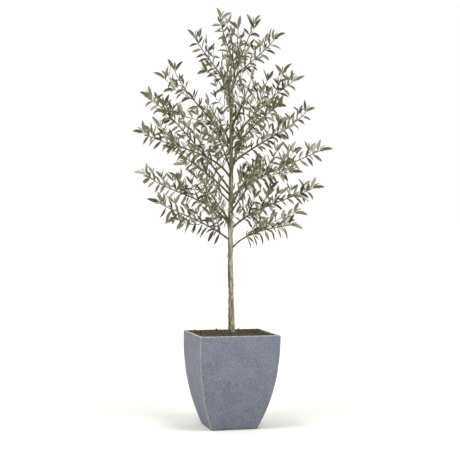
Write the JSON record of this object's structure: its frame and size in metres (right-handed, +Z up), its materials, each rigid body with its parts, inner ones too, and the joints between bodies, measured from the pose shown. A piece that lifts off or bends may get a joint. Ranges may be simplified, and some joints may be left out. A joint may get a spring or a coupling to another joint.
{
  "type": "potted olive tree",
  "caption": "Young olive tree with one slender trunk and an open, tapering crown of narrow leaves, in a square bowed planter that narrows towards its foot.",
  "frame": {"origin": "centre of the planter's flat underside, where it stands on the ground", "axes": "+Z up along the trunk, X and Y square to the planter's sides, with its front side facing -Y"},
  "size_m": [0.9658, 0.8708, 2.0183],
  "materials": {
    "pot": "matt blue-grey stone-look composite with fine speckle, worn to a paler tan along its edges",
    "soil": "dark crumbly potting compost",
    "bark": "grey-olive bark with fine upright streaks and small knots",
    "foliage": "leathery narrow leaves, dull dark olive above and paler silver-grey below"
  },
  "bodies": {
    "root": {"pot": "pot", "soil": "soil", "trunk": "bark", "bough_01": "bark", "foliage_01": "foliage", "bough_02": "bark", "foliage_02": "foliage", "bough_03": "bark", "foliage_03": "foliage", "bough_04": "bark", "foliage_04": "foliage", "bough_05": "bark", "foliage_05": "foliage", "bough_06": "bark", "foliage_06": "foliage", "bough_07": "bark", "foliage_07": "foliage", "bough_08": "bark", "foliage_08": "foliage", "bough_09": "bark", "foliage_09": "foliage", "bough_10": "bark", "foliage_10": "foliage", "bough_11": "bark", "foliage_11": "foliage", "bough_12": "bark", "foliage_12": "foliage", "bough_13": "bark", "foliage_13": "foliage", "bough_14": "bark", "foliage_14": "foliage", "bough_15": "bark", "foliage_15": "foliage", "bough_16": "bark", "foliage_16": "foliage", "bough_17": "bark", "foliage_17": "foliage", "foliage_18": "foliage", "bough_19": "bark", "foliage_19": "foliage", "bough_20": "bark", "foliage_20": "foliage", "bough_21": "bark", "foliage_21": "foliage", "bough_22": "bark", "foliage_22": "foliage", "bough_23": "bark", "foliage_23": "foliage", "foliage_24": "foliage", "foliage_25": "foliage", "foliage_26": "foliage", "bough_27": "bark", "foliage_27": "foliage", "foliage_28": "foliage", "foliage_29": "foliage", "foliage_30": "foliage", "foliage_31": "foliage", "foliage_32": "foliage", "foliage_33": "foliage", "foliage_34": "foliage"}
  },
  "joints": []
}
